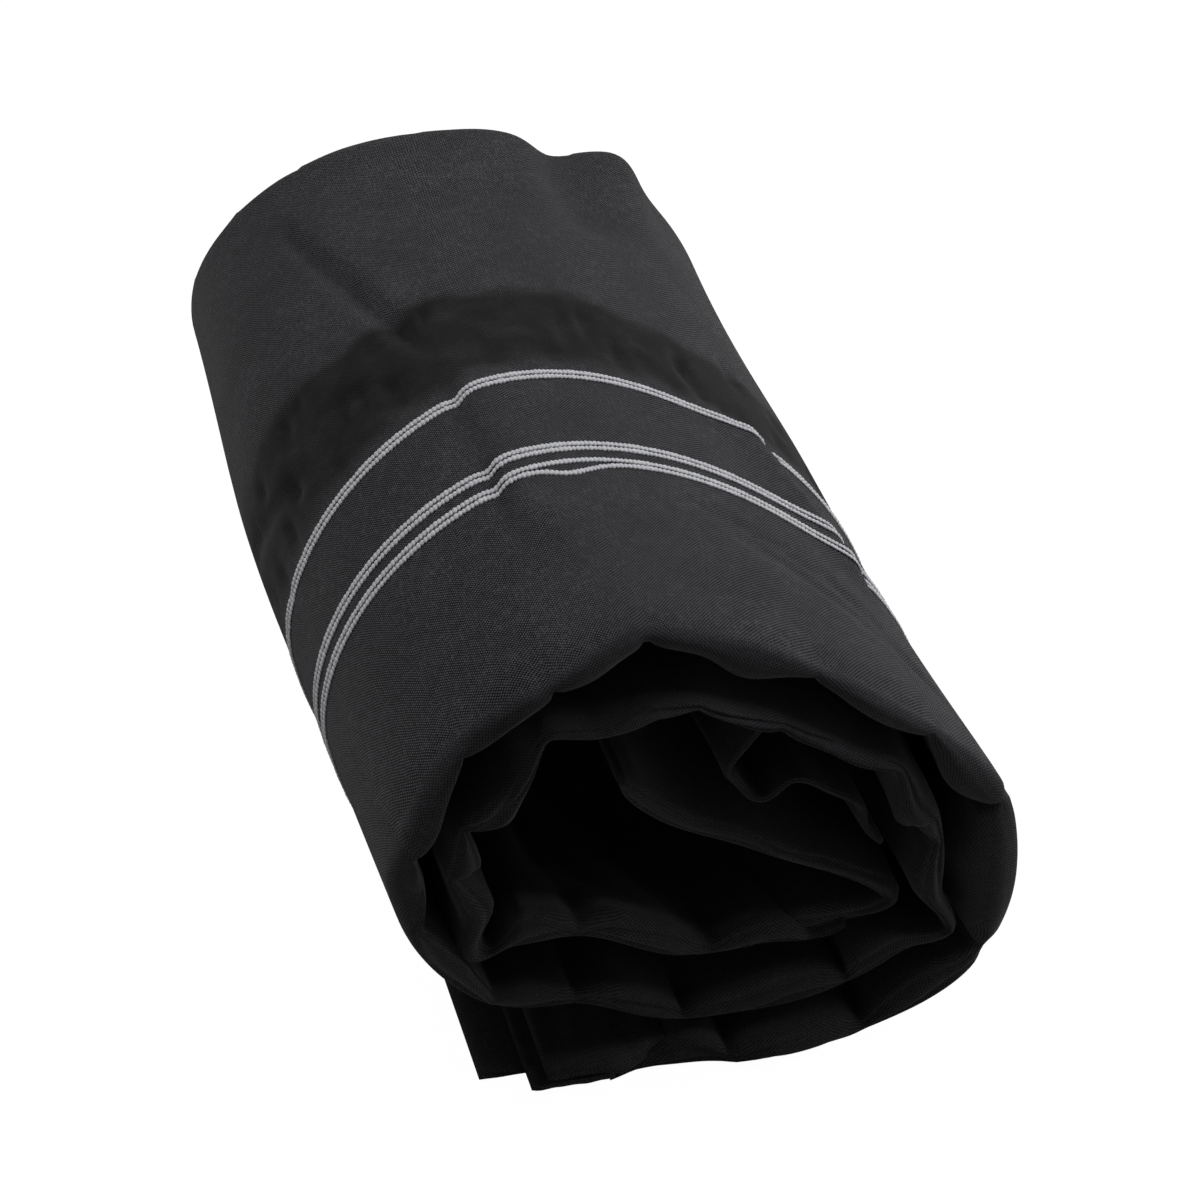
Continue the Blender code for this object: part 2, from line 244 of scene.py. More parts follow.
def outer_base(turn, share):
    """Outer side before its folds, for arrays of turns and of shares of the way to the far end."""
    turn = np.asarray(turn, float)
    share = np.asarray(share, float)
    wound = np.maximum(turn, 0.0)
    near = spiral(wound, NEAR_END)
    far = spiral(wound, FAR_END)
    near_by = 1 - smooth(share * (FAR_Y - NEAR_Y), 0.1 * LIFT_REACH, LIFT_REACH)
    level = np.clip((turn - WOUND_TURNS) / LEVEL_RUN + 1, 0, 1)
    share = share + (0.5 - share) * level
    path = near + (far - near) * share[..., None]
    run = np.minimum(turn, 0.0) / FLOOR_RUN
    path[..., 0] += (path[..., 0] + SEAM_SETBACK) * run
    path[..., 0] += SECTION_SHIFT
    height = np.where(turn < 0, 0.0, path[..., 1])
    path[..., 1] = (height + np.sqrt(height**2 + TABLE_SOFTNESS**2)) / 2
    for lift_turn, span, rise in LIFTS:
        path[..., 1] += rise * near_by * bump(turn, lift_turn, span)
    return path


def outward(turn, share):
    """Unit normals of the outer side in the plane of the section."""
    step = 0.004
    ahead = outer_base(turn + step, share) - outer_base(turn - step, share)
    normal = np.stack([ahead[..., 1], -ahead[..., 0]], axis=-1)
    return normal / np.linalg.norm(normal, axis=-1, keepdims=True)


def fold(turn, y, start, end, width, depth, step=0.0):
    """A crease along a line from start to end, each (turn, y): a valley, with one side stepped up."""
    around = (turn - start[0]) * TURN_LENGTH
    line = np.array([(end[0] - start[0]) * TURN_LENGTH, end[1] - start[1]])
    length = np.linalg.norm(line)
    along = (around * line[0] + (y - start[1]) * line[1]) / length
    aside = (around * line[1] - (y - start[1]) * line[0]) / length
    fade = smooth(along, -0.25 * length, 0.1 * length) * (1 - smooth(along, 0.9 * length, 1.25 * length))
    valley = -depth * bump(aside, 0, width)
    shoulder = step * bump(np.maximum(aside, 0), 0, 4 * width) * smooth(aside, -0.6 * width, 0.6 * width)
    return (valley + shoulder) * fade


def stripe_line(turn, stripe):
    """How far along the roll a stripe lies: the cloth was wound askew, so it falls back on both flanks."""
    fall = np.where(turn > STRIPE_CROWN, stripe["left_fall"], stripe["right_fall"])
    return stripe["y"] - fall * (np.hypot(turn - STRIPE_CROWN, STRIPE_ROUNDING) - STRIPE_ROUNDING)


def border_line(turn):
    """The far edge of the darker, puckered border beyond the single stripe."""
    edge = BORDER_Y - BORDER_FALL * (np.hypot(turn - BORDER_CROWN, BORDER_ROUNDING) - BORDER_ROUNDING)
    for height, rate, phase in BORDER_WAVES:
        edge = edge + height * np.sin(turn * rate + phase)
    return edge


def border_puckers():
    """Small dents, scattered over the border, as (turn, y, half length, half width, depth)."""
    chance = np.random.default_rng(SEED)
    dents = []
    for turn in np.linspace(*PUCKER_TURNS, PUCKER_COUNT):
        low = stripe_line(turn, SINGLE_STRIPE) + PUCKER_MARGIN
        y = low + (border_line(turn) - low) * chance.uniform(*PUCKER_PLACES)
        half_length = chance.uniform(*PUCKER_HALF_LENGTHS) * MM
        half_width = chance.uniform(*PUCKER_HALF_WIDTHS) * MM
        depth = chance.uniform(*PUCKER_DEPTHS) * MM
        dents.append((turn, y, half_length, half_width, depth))
    return dents


def relief(turn, y):
    """Height of the outer ply's folds over its smooth form."""
    around = turn * TURN_LENGTH
    wander = RIPPLE_WANDER * np.sin(y / RIPPLE_WANDER_LENGTH)
    ripple = RIPPLE_HEIGHT * np.sin(around / RIPPLE_LENGTH + wander)
    patches = 0.4 + 0.6 * np.sin(y / (43 * MM) + around / (60 * MM)) ** 2
    billow = BILLOW_HEIGHT * np.sin(y / (24 * MM) + 0.8) * np.sin(around / (38 * MM) + 1.0)
    height = ripple * patches + billow
    for crease in CREASES:
        height = height + fold(turn, y, **crease)
    for swell in SWELLS:
        aside = (turn - swell["turn"]) / swell["turns"]
        beyond = (y - swell["y"]) / swell["reach"]
        height = height + swell["height"] * np.exp(-(aside**2) - beyond**2)
    for dent_turn, dent_y, half_length, half_width, depth in PUCKERS:
        aside = (turn - dent_turn) * TURN_LENGTH / half_width
        height = height - depth * np.exp(-(aside**2) - ((y - dent_y) / half_length) ** 2)
    return height


PUCKERS = border_puckers()

# Soft ripples round the outer ply, which wander along the roll, and broader billows
RIPPLE_HEIGHT = 0.35 * MM
RIPPLE_LENGTH = 9 * MM
RIPPLE_WANDER = 2.1
RIPPLE_WANDER_LENGTH = 31 * MM
BILLOW_HEIGHT = 0.5 * MM

# Creases of the outer ply, each along a line of (turn, y)
CREASES = (
    dict(start=(0.534, -2 * MM), end=(0.540, -40 * MM), width=1.9 * MM, depth=0.6 * MM, step=1.0 * MM),
    dict(start=(0.588, 57 * MM), end=(0.547, 16 * MM), width=1.5 * MM, depth=1.6 * MM),
    dict(start=(0.314, -34 * MM), end=(0.354, -4 * MM), width=1.3 * MM, depth=0.9 * MM, step=1.7 * MM),
    dict(start=(0.648, 0.0), end=(0.735, 4 * MM), width=1.8 * MM, depth=0.6 * MM),
    dict(start=(0.408, 90 * MM), end=(0.405, 52 * MM), width=4.0 * MM, depth=1.9 * MM),
    dict(start=(0.415, -38 * MM), end=(0.330, -50 * MM), width=1.4 * MM, depth=0.35 * MM),
    dict(start=(0.400, -44 * MM), end=(0.310, -60 * MM), width=1.6 * MM, depth=0.40 * MM),
    dict(start=(0.350, -46 * MM), end=(0.290, -66 * MM), width=1.3 * MM, depth=0.35 * MM),
    dict(start=(0.569, 5 * MM), end=(0.565, -2 * MM), width=1.2 * MM, depth=0.9 * MM),
    dict(start=(0.506, 14 * MM), end=(0.500, 1 * MM), width=1.0 * MM, depth=0.7 * MM),
    dict(start=(0.379, 10 * MM), end=(0.373, 0.0), width=1.2 * MM, depth=0.8 * MM),
    dict(start=(0.600, 9 * MM), end=(0.575, 6 * MM), width=1.0 * MM, depth=0.7 * MM),
)

# Broad swells and hollows of the outer ply
SWELLS = (
    dict(turn=0.20, turns=0.11, y=NEAR_Y, reach=32 * MM, height=1.5 * MM),
    dict(turn=0.28, turns=0.06, y=FAR_Y - 15 * MM, reach=45 * MM, height=-1.2 * MM),
    dict(turn=0.365, turns=0.022, y=FAR_Y, reach=20 * MM, height=3.2 * MM),
    dict(turn=0.66, turns=0.10, y=FAR_Y, reach=26 * MM, height=-1.0 * MM),
    dict(turn=0.73, turns=0.13, y=14 * MM, reach=30 * MM, height=1.1 * MM),
    dict(turn=0.44, turns=0.03, y=FAR_Y, reach=20 * MM, height=0.8 * MM),
)


def lobes(turn):
    """How far the inner ply swells, from 0 at a pinched crease to 1 between creases, and by how much."""
    index = np.clip(np.searchsorted(NOTCHES, turn, side="right") - 1, 0, len(NOTCHES) - 2)
    left = NOTCHES[index]
    right = NOTCHES[index + 1]
    across = np.clip(2 * (turn - left) / (right - left) - 1, -1, 1)
    rise = (1 - np.abs(across) ** 2.2) ** 0.62
    cap = SWELL_MOST + (RIGHT_SWELL - SWELL_MOST) * (1 - smooth(turn, *RIGHT_SIDE_ENDS))
    most = np.clip((right - left) * TURN_LENGTH * SWELL_SHARE, SWELL_LEAST, cap)
    for swell, rising, falling in (
            (CROWN_SWELL, CROWN_RISE, CROWN_FALL),
            (SECOND_CROWN_SWELL, SECOND_CROWN_RISE, SECOND_CROWN_FALL)):
        most = most + (np.minimum(most, swell) - most) * between(turn, rising, falling)
    return rise, most


def share_of(y):
    """Share of the way from the near end to the far end."""
    return (y - NEAR_Y) / (FAR_Y - NEAR_Y)


def outer_surface(turn, y):
    """Points of the outer ply, with its folds, and their normals."""
    share = share_of(y)
    normal = outward(turn, share)
    shown = between(turn, SHOWN_RISE, SHOWN_FALL)
    near_rim = bump(y, NEAR_Y, NICK_REACH)
    height = relief(turn, y) * shown
    for nick_turn, depth in NICKS:
        height = height - depth * near_rim * bump(turn, nick_turn, NICK_WIDTH / TURN_LENGTH)
    for crease_turn, depth in DEEP_CREASES:
        height = height + depth * bump(turn, crease_turn, DEEP_CREASE_WIDTH / TURN_LENGTH)
    roll_over = np.clip(1 - (y - NEAR_Y - RIM_MOST) / ROLL_OVER_REACH, 0, 1) ** 2
    crown_drop = CROWN_ROLL_OVER * between(turn, CROWN_ROLL_RISE, CROWN_ROLL_FALL)
    height = height - roll_over * (crown_drop + INNER_ROLL_OVER * smooth(turn, *INNER_ROLL_RISE))
    path = outer_base(turn, share) + normal * height[..., None]
    path[..., 0] += (BOW * (2 * share - 1) ** 2 + BOW_MIDDLE) * shown
    points = np.stack([path[..., 0], y, path[..., 1]], axis=-1)
    normals = np.stack([normal[..., 0], np.zeros_like(y), normal[..., 1]], axis=-1)
    return points, normals


def thickness_at(turn, y):
    """Thickness of the folded strip, thin where the tail and the inner end take over from it."""
    wander = 0.012 * np.sin((y - NEAR_Y) / (17 * MM)) * smooth(y, NEAR_Y + 6 * MM, NEAR_Y + 40 * MM)
    rise, most = lobes(turn + wander)
    deep = smooth(y, NEAR_Y + 5 * MM, NEAR_Y + 20 * MM) * (1 - smooth(y, FAR_Y - 25 * MM, FAR_Y - 8 * MM))
    floor = between(turn, FLOOR_RISE, FLOOR_FALL) + smooth(turn, *LAST_FLOOR_RISE)
    rise = rise + np.maximum(FLOOR_FILL - rise, 0) * deep * floor
    thick = PINCH + rise * most * (0.86 + 0.14 * np.sin(turn * 23.0 + y / (19 * MM)))
    thick = thick + 0.3 * MM * np.sin(turn * 97.0 + y / (5 * MM)) * rise
    thick = thick + CROWN_SAG * bump(turn, CROWN_SAG_TURN, CROWN_SAG_SPAN)
    start = smooth(turn, -FLOOR_RUN, -0.12 * FLOOR_RUN)
    stop = 1 - smooth(turn, WOUND_TURNS - 0.10, WOUND_TURNS)
    return THIN_EDGE + (np.maximum(thick, PINCH) - THIN_EDGE) * start * stop


def add_mesh(name, points, faces, uvs, marks=None):
    """A smooth piece at the origin, with its own UV map in metres and its marks as attributes."""
    mesh = bpy.data.meshes.new(name)
    mesh.from_pydata(np.asarray(points).tolist(), [], faces)
    layer = mesh.uv_layers.new(name="cloth_metres")
    corners = np.empty(len(mesh.loops), np.int32)
    mesh.loops.foreach_get("vertex_index", corners)
    layer.data.foreach_set("uv", np.asarray(uvs, np.float32)[corners].ravel())
    unmarked = np.zeros(len(mesh.vertices))
    for mark in ("border_band", "painted_light_face"):
        attribute = mesh.attributes.new(mark, "FLOAT", "POINT")
        attribute.data.foreach_set("value", (marks or {}).get(mark, unmarked).astype(np.float32))
    mesh.shade_smooth()
    mesh.validate()
    piece = bpy.data.objects.new(name, mesh)
    bpy.context.scene.collection.objects.link(piece)
    return piece


def grid_faces(stations, rows):
    """Quads between the rings of a strip, with a face over each end."""
    faces = []
    for station in range(stations - 1):
        here = station * rows
        after = here + rows
        for row in range(rows):
            beside = (row + 1) % rows
            faces.append((here + row, here + beside, after + beside, after + row))
    faces.append(tuple(reversed(range(rows))))
    faces.append(tuple(range((stations - 1) * rows, stations * rows)))
    return faces


def ply_lips(angle, lips):
    """Grooves between the plies round a rim, which wander along the strip and are as deep as lips says."""
    along = np.arange(len(lips)) * STATION_STEP
    first = 1.0 + 0.25 * np.sin(along / (6.1 * MM)) + 0.15 * np.sin(along / (2.7 * MM) + 1)
    second = 2.0 + 0.22 * np.sin(along / (7.3 * MM) + 2) + 0.15 * np.sin(along / (3.3 * MM))
    groove = bump(angle, first, 0.20) + 0.8 * bump(angle, second, 0.20)
    return 1 - lips * groove


def envelope(outer, inner, rims, lips, y_rows, tip=RIM_TIP):
    """Rings round a folded strip: from the far rim along the outer side, round the near rim and back.

    outer and inner give points at one y; rims and lips give the depth of the near rim and of its grooves,
    and tip says where a rim reaches furthest, from 0 at the inner side to 1 at the outer side.
    """
    near_edge, far_edge = y_rows[0], y_rows[-1]
    rows = []

    def rim(y_edge, outward_y, angles, depths):
        a = outer(y_edge)
        b = inner(y_edge)
        middle = b + (a - b) * tip
        for angle in angles:
            side = a if angle < math.pi / 2 else b
            ring = middle + (side - middle) * abs(math.cos(angle))
            ring[:, 1] += outward_y * depths * math.sin(angle) * ply_lips(angle, lips)
            rows.append(ring)

    far_depths = np.minimum(rims, RIM_MOST)
    quarter = [math.pi / 2 * step / FAR_RIM_STEPS for step in range(FAR_RIM_STEPS)]
    half_round = [math.pi * step / NEAR_RIM_STEPS for step in range(1, NEAR_RIM_STEPS)]
    rim(far_edge, 1, [math.pi / 2 - angle for angle in quarter], far_depths)
    rows += [outer(y) for y in y_rows[::-1]]
    rim(near_edge, -1, half_round, rims)
    rows += [inner(y) for y in y_rows[::2]]
    rim(far_edge, 1, [math.pi - angle for angle in quarter], far_depths)
    return np.stack(rows, axis=1)


def ring_uvs(rings):
    """UV in metres: along the strip, and round its ring."""
    middle = rings[:, rings.shape[1] // 3]
    along = run_along(middle)
    gaps = np.linalg.norm(np.diff(rings, axis=1), axis=2)
    around = np.concatenate([np.zeros((len(rings), 1)), np.cumsum(gaps, axis=1)], axis=1)
    return np.column_stack([np.repeat(along, rings.shape[1]), around.ravel()])


def hex_linear(code):
    """Linear colour of an sRGB hex code."""
    parts = [int(code[i:i + 2], 16) / 255 for i in (1, 3, 5)]
    linear = [part / 12.92 if part <= 0.04045 else ((part + 0.055) / 1.055) ** 2.4 for part in parts]
    return (*linear, 1.0)


def add_node(tree, kind, settings=None, inputs=None):
    """A node with its settings, and its inputs given as values or as sockets to link."""
    node = tree.nodes.new(kind)
    for name, value in (settings or {}).items():
        setattr(node, name, value)
    for name, value in (inputs or {}).items():
        if isinstance(value, bpy.types.NodeSocket):
            tree.links.new(value, node.inputs[name])
        else:
            node.inputs[name].default_value = value
    return node


def new_material(name):
    """A material with its node tree and its shader."""
    material = bpy.data.materials.new(name)
    material.use_nodes = True
    shader = material.node_tree.nodes["Principled BSDF"]
    return material, material.node_tree, shader


def add_steps(tree, kind, found, steps):
    """Nodes worked out one from another: each step is a name, an operation and values or earlier names."""
    for name, operation, *values in steps:
        inputs = {i: found[value] if isinstance(value, str) else value for i, value in enumerate(values)}
        found[name] = add_node(tree, kind, {"operation": operation}, inputs).outputs[0]


# Threads of a fine plain cotton, about 90 an inch: they just show at this picture size, so they aren't
# drawn any coarser
THREAD_PITCH = 0.28 * MM
THREAD_RATE = math.pi / THREAD_PITCH
WEAVE_WAVER = 2.6
WEAVE_MIDDLE = 0.42
WEAVE_RANGE = (0.76, 1.27)

# Shade that is uneven from thread to thread, drawn out along each thread
YARN_DRAW = 0.12
YARN_STRETCHES = ((1.0, YARN_DRAW), (YARN_DRAW, 1.0))

# Weave of warp and weft, where either may lie over the other, and its tone with that of uneven yarns
WEAVE_STEPS = (
    ("off_middle", "SUBTRACT", "waver", 0.5),
    ("drift", "MULTIPLY", "off_middle", WEAVE_WAVER),
    ("warp_place", "MULTIPLY", "u", THREAD_RATE),
    ("warp_phase", "ADD", "warp_place", "drift"),
    ("warp", "SINE", "warp_phase"),
    ("weft_place", "MULTIPLY", "v", THREAD_RATE),
    ("weft_phase", "ADD", "weft_place", "drift"),
    ("weft", "SINE", "weft_phase"),
    ("over", "MULTIPLY", "warp", "weft"),
    ("warp_crown", "ABSOLUTE", "warp"),
    ("weft_crown", "ABSOLUTE", "weft"),
    ("crowns", "MULTIPLY", "warp_crown", "weft_crown"),
    ("over_share", "MULTIPLY", "over", 0.35),
    ("crown_share", "MULTIPLY", "crowns", 0.5),
    ("weave", "ADD", "over_share", "crown_share"),
    ("yarns", "ADD", "warp_yarn", "weft_yarn"),
    ("weave_tone", "MULTIPLY", "weave", 1.15),
    ("yarn_tone", "MULTIPLY", "yarns", 0.55),
    ("thread_tone", "ADD", "weave_tone", "yarn_tone"),
    ("cloud_tone", "MULTIPLY", "clouds", 0.3),
    ("tone", "ADD", "thread_tone", "cloud_tone"),
)

# Shade of the cloth, with painted light on the outer face, which is drawn lighter and with more grain
# contrast, and the blotchy border
DYE_AND_PAINTED_LIGHT_STEPS = (
    ("contrast", "MULTIPLY_ADD", "painted_light_face", 0.90, 0.35),
    ("level", "MULTIPLY_ADD", "painted_light_face", 0.13, 0.27),
    ("off_grey", "SUBTRACT", "grey", WEAVE_MIDDLE),
    ("shade", "MULTIPLY_ADD", "off_grey", "contrast", "level"),
    ("blotch_share", "MULTIPLY_ADD", "blotches", 1.3, 0.30),
    ("border", "MULTIPLY", "border_band", "blotch_share"),
)


def plain_woven_cotton():
    """Plain-woven black cotton: a fine even grain of threads that shows grey where light grazes it.

    The outer face has painted light: its colour is lighter and its grain stands out more than inside the
    roll.
    """
    material, tree, shader = new_material("plain_woven_black_cotton")
    uv = add_node(tree, "ShaderNodeUVMap", {"uv_map": "cloth_metres"}).outputs["UV"]
    parts = add_node(tree, "ShaderNodeSeparateXYZ", inputs={"Vector": uv}).outputs
    found = {"u": parts["X"], "v": parts["Y"]}
    for name in ("border_band", "painted_light_face"):
        found[name] = add_node(tree, "ShaderNodeAttribute", {"attribute_name": name}).outputs["Fac"]
    warp_way, weft_way = [
        add_node(
            tree, "ShaderNodeVectorMath", {"operation": "MULTIPLY"},
            {0: uv, 1: (across / THREAD_PITCH, along / THREAD_PITCH, 0)}).outputs[0]
        for across, along in YARN_STRETCHES]
    for name, vector, scale, detail in (
            ("waver", uv, 420.0, 2.0), ("clouds", uv, 90.0, 3.0), ("blotches", uv, 170.0, 3.0),
            ("warp_yarn", warp_way, 1.0, 1.0), ("weft_yarn", weft_way, 1.0, 1.0)):
        values = {"Vector": vector, "Scale": scale, "Detail": detail}
        found[name] = add_node(tree, "ShaderNodeTexNoise", inputs=values).outputs["Fac"]
    add_steps(tree, "ShaderNodeMath", found, WEAVE_STEPS)
    spread = {"Value": found["tone"], "From Min": WEAVE_RANGE[0], "From Max": WEAVE_RANGE[1]}
    found["grey"] = add_node(tree, "ShaderNodeMapRange", inputs=spread).outputs[0]
    add_steps(tree, "ShaderNodeMath", found, DYE_AND_PAINTED_LIGHT_STEPS)
    # Painted light: where the outer face is marked, the colour mixed here is lighter and grainier
    dye_and_painted_light = add_node(
        tree, "ShaderNodeMix", {"data_type": "RGBA"},
        {0: found["shade"], 6: hex_linear("#0e0e0f"), 7: hex_linear("#616166")}).outputs[2]
    dark = add_node(
        tree, "ShaderNodeMix", {"data_type": "RGBA"},
        {0: found["border"], 6: dye_and_painted_light, 7: hex_linear("#0c0c0c")}).outputs[2]
    tree.links.new(dark, shader.inputs["Base Color"])
    raised = {"Height": found["weave"], "Strength": 0.5, "Distance": 0.12 * MM}
    grain = add_node(tree, "ShaderNodeBump", inputs=raised).outputs["Normal"]
    tree.links.new(grain, shader.inputs["Normal"])
    shader.inputs["Roughness"].default_value = 0.95
    shader.inputs["Specular IOR Level"].default_value = 0.15
    shader.inputs["Sheen Weight"].default_value = 0.13
    shader.inputs["Sheen Roughness"].default_value = 0.5
    return material


def white_cotton_yarn():
    """Mercerised white cotton yarn: soft, slightly uneven, a little grey from the black threads between."""
    material, tree, shader = new_material("white_cotton_yarn")
    place = add_node(tree, "ShaderNodeTexCoord").outputs["Object"]
    fine = {"Vector": place, "Scale": 1400.0, "Detail": 3.0}
    fibre = add_node(tree, "ShaderNodeTexNoise", inputs=fine).outputs["Fac"]
    ramp = add_node(tree, "ShaderNodeValToRGB", inputs={"Fac": fibre})
    ramp.color_ramp.elements[0].color = hex_linear("#c4c4ca")
    ramp.color_ramp.elements[1].color = hex_linear("#f0f0f4")
    tree.links.new(ramp.outputs["Color"], shader.inputs["Base Color"])
    fuzz = add_node(tree, "ShaderNodeBump", inputs={"Height": fibre, "Strength": 0.4, "Distance": 0.1 * MM})
    tree.links.new(fuzz.outputs["Normal"], shader.inputs["Normal"])
    shader.inputs["Roughness"].default_value = 0.8
    shader.inputs["Sheen Weight"].default_value = 0.15
    return material


COTTON = plain_woven_cotton()
YARN = white_cotton_yarn()


def wound_cloth():
    """The winding: one unbroken folded strip from the tail's seam to the inner end's hairpin."""
    fine = np.linspace(-FLOOR_RUN, WOUND_TURNS, 4000)
    run = run_along(outer_base(fine, np.zeros_like(fine)))
    turns = np.interp(np.linspace(0, run[-1], int(run[-1] / STATION_STEP)), run, fine)
    rise, _ = lobes(turns)
    telescope = TELESCOPE * turns + TELESCOPE_WAVE * np.sin(turns * 9.0)
    for rim_turn, span, distance in RIM_SETBACKS:
        telescope = telescope + distance * bump(turns, rim_turn, span)
    rims = RIM_LEAST + (RIM_MOST - RIM_LEAST) * rise
    left = between(turns, LEFT_RISE, LEFT_FALL)
    rims = rims + (LEFT_RIM - rims) * left
    telescope = telescope + (LEFT_RIM - RIM_MOST) * left
    near = NEAR_Y + RIM_MOST
    far = FAR_Y - RIM_MOST
    share = np.linspace(0, 1, ROLL_ROWS) ** 1.35
    y_rows = near + (far - near) * share

    def ys(y):
        drawn_in = 1 - smooth(np.full_like(turns, y), near, near + TELESCOPE_REACH)
        return y + telescope * drawn_in

    def outer(y):
        return outer_surface(turns, ys(y))[0]

    def inner(y):
        points, normals = outer_surface(turns, ys(y))
        swell = LEFT_SWELL * left * (1 - smooth(ys(y), near, near + LEFT_SWELL_REACH))
        return points - normals * (thickness_at(turns, ys(y)) + swell)[:, None]

    lips = LIP_DEPTH - LIP_DEPTH_LOSS * between(turns, LIP_LOSS_RISE, LIP_LOSS_FALL)
    tip = RIM_TIP - LEFT_TIP_DROP * left[:, None]
    rings = envelope(outer, inner, rims, lips, y_rows, tip)
    stations, rows, _ = rings.shape
    y = rings[..., 1]
    turn_grid = np.repeat(turns[:, None], rows, axis=1)
    arc = border_line(turn_grid)
    low = stripe_line(turn_grid, SINGLE_STRIPE)
    band = smooth(y, low + BORDER_START, low + BORDER_FULL)
    band = band * (1 - smooth(y, arc - BORDER_SOFTNESS, arc + BORDER_SOFTNESS))
    band = band * (turn_grid < BORDER_LAST_TURN)
    near_row = FAR_RIM_STEPS + ROLL_ROWS
    # Painted light: the outer face is marked to be coloured lighter and grainier, fading out short of the
    # near rim and on the inner turns
    outer_rows = 1 - smooth(np.arange(rows), near_row - FADE_ROWS, near_row + NEAR_RIM_STEPS / 4)
    painted_light_face = outer_rows[None, :] * (1 - smooth(turn_grid, *PAINTED_LIGHT_FALL))
    return add_mesh(
        "rolled_cloth", rings.reshape(-1, 3), grid_faces(stations, rows), ring_uvs(rings),
        dict(border_band=band.ravel(), painted_light_face=painted_light_face.ravel()))


def spline(points, step):
    """Points evenly spaced on a smooth curve through given ones."""
    points = np.asarray(points, float)
    padded = np.vstack([2 * points[0] - points[1], points, 2 * points[-1] - points[-2]])
    curve = []
    for i in range(1, len(padded) - 2):
        a, b, c, d = padded[i - 1:i + 3]
        for t in np.linspace(0, 1, 24, endpoint=False):
            square = (2 * a - 5 * b + 4 * c - d) * t**2
            cube = (3 * b - a - 3 * c + d) * t**3
            curve.append(0.5 * (2 * b + (c - a) * t + square + cube))
    curve.append(points[-1])
    curve = np.array(curve)
    run = run_along(curve)
    even = np.linspace(0, run[-1], max(int(run[-1] / step), 4))
    return np.column_stack([np.interp(even, run, curve[:, axis]) for axis in range(2)])


def strip_piece(name, path, half, near, far, ripple, rim_depth, rows=70, setback=0.0):
    """A folded strip along a path of (x, z), half as thick as given on each side of it.

    setback says how far its near edge is drawn in at each place along the path.
    """
    ahead = np.gradient(path, axis=0)
    left = np.column_stack([-ahead[:, 1], ahead[:, 0]])
    left = left / np.linalg.norm(left, axis=1)[:, None]
    share = np.linspace(0, 1, rows) ** 1.3
    y_rows = near + (far - near) * share
    along = np.linspace(0, 1, len(path))

    def side(y, sign):
        wave = ripple * np.sin(along * 17 + y / (11 * MM)) * np.sin(y / (23 * MM) + along * 5)
        points = path + left * (sign * half + wave)[:, None]
        drawn = np.full(len(path), y) + setback * (1 - smooth(y, near, near + 30 * MM))
        return np.column_stack([points[:, 0], drawn, points[:, 1]])

    rims = np.full(len(path), rim_depth)
    lips = np.full(len(path), 0.3)
    rings = envelope(lambda y: side(y, -1), lambda y: side(y, 1), rims, lips, y_rows)
    return add_mesh(name, rings.reshape(-1, 3), grid_faces(*rings.shape[:2]), ring_uvs(rings))


def inner_end():
    """The inner end: out of the winding, round a tight hairpin and up across the hollow."""
    shape = [
        (-15.5, -4.0), (-9.4, -1.7), (-2.9, -0.9), (3.0, -1.3), (5.9, -0.4), (6.2, 1.2), (3.9, 3.3),
        (-1.4, 6.4), (-11.5, 12.2), (-21.9, 18.0), (-30.0, 23.6), (-34.0, 27.6)]
    path = spline(INNER_HINGE[[0, 2]] + np.array(shape) * MM, 0.8 * MM)
    along = np.linspace(0, 1, len(path))
    half = 0.3 * MM + 1.2 * MM * smooth(along, 0.0, 0.08) * (1 - 0.75 * smooth(along, 0.95, 1.0))
    half = half + 0.8 * MM * bump(along, 0.13, 0.075)
    return strip_piece("inner_end_cloth", path, half, NEAR_Y + 6.5 * MM, FAR_Y - 5 * MM, 0.5 * MM, 2.4 * MM)


def loose_inner_ply():
    """A crumpled ply that has come away from the second turn, inside the hollow at the upper right."""
    shape = [
        (10.1, 55.5), (9.5, 54.5), (6.8, 50.5), (3.3, 46.8), (5.2, 43.9), (9.0, 41.5), (13.4, 43.6),
        (19.0, 40.8), (22.6, 37.4), (23.9, 33.5), (27.0, 31.0)]
    path = spline(np.array(shape) * MM, 0.7 * MM)
    half = np.full(len(path), 0.55 * MM)
    near = NEAR_Y + 7 * MM
    far = NEAR_Y + 70 * MM
    return strip_piece("loose_inner_ply", path, half, near, far, 0.7 * MM, 0.8 * MM, 40)


def tail_ply(name, top, bottom, root, tip, near, far, ripple):
    """A ply of the tail lying on the table, from inside the seam to its free edge at -X."""
    x = np.arange(tip, root, 0.7 * MM)[::-1]
    along = (root - x) / (root - tip)
    upper = np.interp(along, *top) * MM
    lower = np.interp(along, *bottom) * MM
    edge = np.sqrt(np.clip((x - tip) / (0.9 * MM), 0.02, 1))
    path = np.column_stack([x, (upper + lower) / 2])
    half = (upper - lower) / 2 * edge
    setback = 2.6 * MM * smooth(x, TAIL_HINGE[0] + 2 * MM, TAIL_HINGE[0] + 11 * MM)
    return strip_piece(name, path, half, near, far, ripple, 1.3 * MM, setback=setback)


